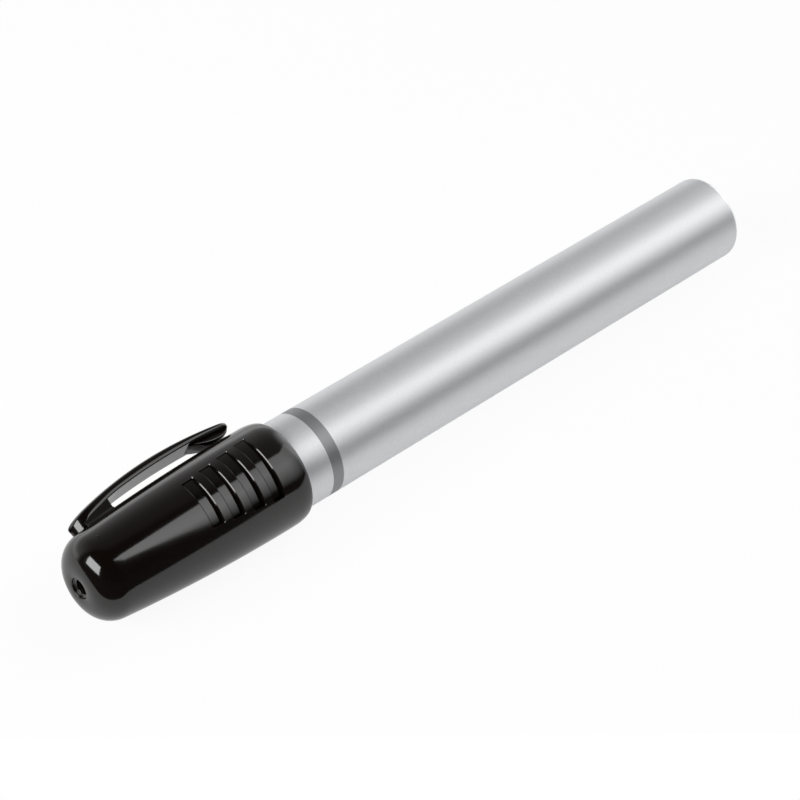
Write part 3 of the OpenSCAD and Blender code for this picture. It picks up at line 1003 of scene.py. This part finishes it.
def studio_world(white):
    """The room: plain white to the camera. To other rays the far side is a pale wall that dims toward
    the ceiling, with a lighter strip along its foot and a soft glow to the right, and the near side is
    dark."""
    world = bpy.data.worlds.new("studio")
    bpy.context.scene.world = world
    world.use_nodes = True
    tree = world.node_tree
    tree.nodes.clear()
    rays = add(tree, "ShaderNodeLightPath")
    way = add(tree, "ShaderNodeTexCoord")
    axes = add(tree, "ShaderNodeSeparateXYZ", links={"Vector": way.outputs["Generated"]})
    fall = add(
        tree, "ShaderNodeMath", {0: 1}, {1: axes.outputs["Z"]}, operation="SUBTRACT", use_clamp=True)
    bent = add(tree, "ShaderNodeMath", {1: WALL_BEND}, {0: fall.outputs[0]}, operation="POWER")
    wall = add(
        tree, "ShaderNodeMath", {1: WALL_LEVEL, 2: CEILING_LEVEL}, {0: bent.outputs[0]},
        operation="MULTIPLY_ADD")
    fade_from, fade_to = (math.sin(math.radians(elevation)) for elevation in FOOT_FADE)
    foot = add(
        tree, "ShaderNodeMapRange",
        {"From Min": fade_from, "From Max": fade_to, "To Min": FOOT_LEVEL, "To Max": 0},
        {"Value": axes.outputs["Z"]}, interpolation_type="SMOOTHSTEP")
    footed = add(
        tree, "ShaderNodeMath", links={0: wall.outputs[0], 1: foot.outputs["Result"]}, operation="ADD")
    right = add(
        tree, "ShaderNodeVectorMath", {1: heading(*GLOW_MIDDLE)}, {0: way.outputs["Generated"]},
        operation="DOT_PRODUCT")
    glow = add(
        tree, "ShaderNodeMapRange",
        {"From Min": math.cos(math.radians(GLOW_REACH)), "From Max": 1, "To Max": GLOW_LEVEL},
        {"Value": right.outputs["Value"]}, interpolation_type="SMOOTHSTEP")
    backdrop = add(
        tree, "ShaderNodeMath", links={0: footed.outputs[0], 1: glow.outputs["Result"]},
        operation="ADD")
    near = add(
        tree, "ShaderNodeVectorMath", {1: heading(*NEAR_MIDDLE)}, {0: way.outputs["Generated"]},
        operation="DOT_PRODUCT")
    edge_from, edge_to = NEAR_EDGE
    lit = add(
        tree, "ShaderNodeMapRange",
        {"From Min": edge_from, "From Max": edge_to, "To Min": 1, "To Max": NEAR_SHARE},
        {"Value": near.outputs["Value"]}, interpolation_type="SMOOTHSTEP")
    level = add(
        tree, "ShaderNodeMath", links={0: backdrop.outputs[0], 1: lit.outputs["Result"]},
        operation="MULTIPLY")
    room = add(tree, "ShaderNodeBackground", {"Color": rgba(white)}, {"Strength": level.outputs[0]})
    plain = add(tree, "ShaderNodeBackground", {"Color": rgba(white), "Strength": 1})
    mixed = add(
        tree, "ShaderNodeMixShader",
        links={0: rays.outputs["Is Camera Ray"], 1: room.outputs["Background"],
               2: plain.outputs["Background"]})
    add(tree, "ShaderNodeOutputWorld", links={"Surface": mixed.outputs["Shader"]})


# How far the board goes on in front of the nose, and to its other sides
BOARD_FRONT = 20 * MM
BOARD_REACH = 3


class MARKER_OT_stage(bpy.types.Operator):
    """Sets up the floor, the lamps, the room and the camera"""
    bl_idname = "marker.stage"
    bl_label = "Stage"

    def execute(self, context):
        studio = context.scene.marker_studio
        context.scene.view_settings.view_transform = "Standard"
        away = Vector((
            math.sin(studio.azimuth) * math.cos(studio.elevation),
            -math.cos(studio.azimuth) * math.cos(studio.elevation),
            math.sin(studio.elevation)))
        aim = Vector((-studio.aim, 0, -studio.aim_drop))
        lens = bpy.data.cameras.new("camera")
        lens.lens = studio.lens
        lens.clip_start = 0.01
        camera = bpy.data.objects.new("camera", lens)
        context.scene.collection.objects.link(camera)
        camera.matrix_world = facing(aim + away * studio.distance, aim)
        context.scene.camera = camera

        # The board touches the cap's belly and the barrel's end, and its front edge is near the nose
        belly_x = CAP_END + CAP_LEN - context.scene.marker_cap.belly
        slope = (BELLY_R - BARREL_R) / -belly_x
        toward = Vector((away.x, away.y, 0)).normalized()
        front = Vector((CAP_END, 0, 0)).dot(toward) + BOARD_FRONT
        side = Vector((-toward.y, toward.x, 0))
        bm = bmesh.new()
        bmesh.ops.create_grid(bm, x_segments=1, y_segments=1, size=1)
        for vert in bm.verts:
            place = side * vert.co.x * BOARD_REACH + toward * (front if vert.co.y > 0 else -BOARD_REACH)
            place.z = -BELLY_R + (place.x - belly_x) * slope
            vert.co = place
        mesh = bpy.data.meshes.new("board")
        bm.to_mesh(mesh)
        bm.free()
        mesh.materials.append(white_floor(studio.white, shadow=0.07, mirrored_shadow=0.5))
        board = bpy.data.objects.new("board", mesh)
        context.scene.collection.objects.link(board)

        softbox(
            "right_softbox", azimuth=126.5, elevation=33.8, roll=-16, distance=2.4, width=2.34,
            height=2.6, radiance=3.15, dim=0.75, rise=0.6)
        softbox(
            "left_softbox", azimuth=-85, elevation=31, roll=0, distance=0.8, width=0.5, height=0.36,
            radiance=8.5)
        studio_world(studio.white)
        return {"FINISHED"}


OPERATORS = (
    MARKER_OT_stage,
    MARKER_OT_barrel,
    MARKER_OT_holder,
    MARKER_OT_nib,
    MARKER_OT_ink,
    MARKER_OT_inner_cap,
    MARKER_OT_cap,
    MARKER_OT_clip,
)


class MARKER_PT_panel(bpy.types.Panel):
    """Lists the marker's pieces and their settings"""
    bl_idname = "MARKER_PT_panel"
    bl_label = "Permanent marker"
    bl_space_type = "VIEW_3D"
    bl_region_type = "UI"
    bl_category = "Marker"

    def draw(self, context):
        for operator in OPERATORS:
            self.layout.operator(operator.bl_idname)
        for name, group in SETTINGS.items():
            box = self.layout.box()
            for setting in group.__annotations__:
                box.prop(getattr(context.scene, name), setting)


def register():
    """Registers the settings, the operators and the panel."""
    for name, group in SETTINGS.items():
        bpy.utils.register_class(group)
        setattr(bpy.types.Scene, name, bpy.props.PointerProperty(type=group))
    for item in (*OPERATORS, MARKER_PT_panel):
        bpy.utils.register_class(item)


def unregister():
    """Takes the panel, the operators and the settings away again."""
    for item in (MARKER_PT_panel, *reversed(OPERATORS)):
        bpy.utils.unregister_class(item)
    for name, group in SETTINGS.items():
        delattr(bpy.types.Scene, name)
        bpy.utils.unregister_class(group)


def main():
    """Makes every piece and the stage."""
    register()
    bpy.ops.marker.stage()
    bpy.ops.marker.barrel()
    bpy.ops.marker.holder()
    bpy.ops.marker.nib()
    bpy.ops.marker.ink()
    bpy.ops.marker.inner_cap()
    bpy.ops.marker.cap()
    bpy.ops.marker.clip()


if __name__ == "__main__":
    main()
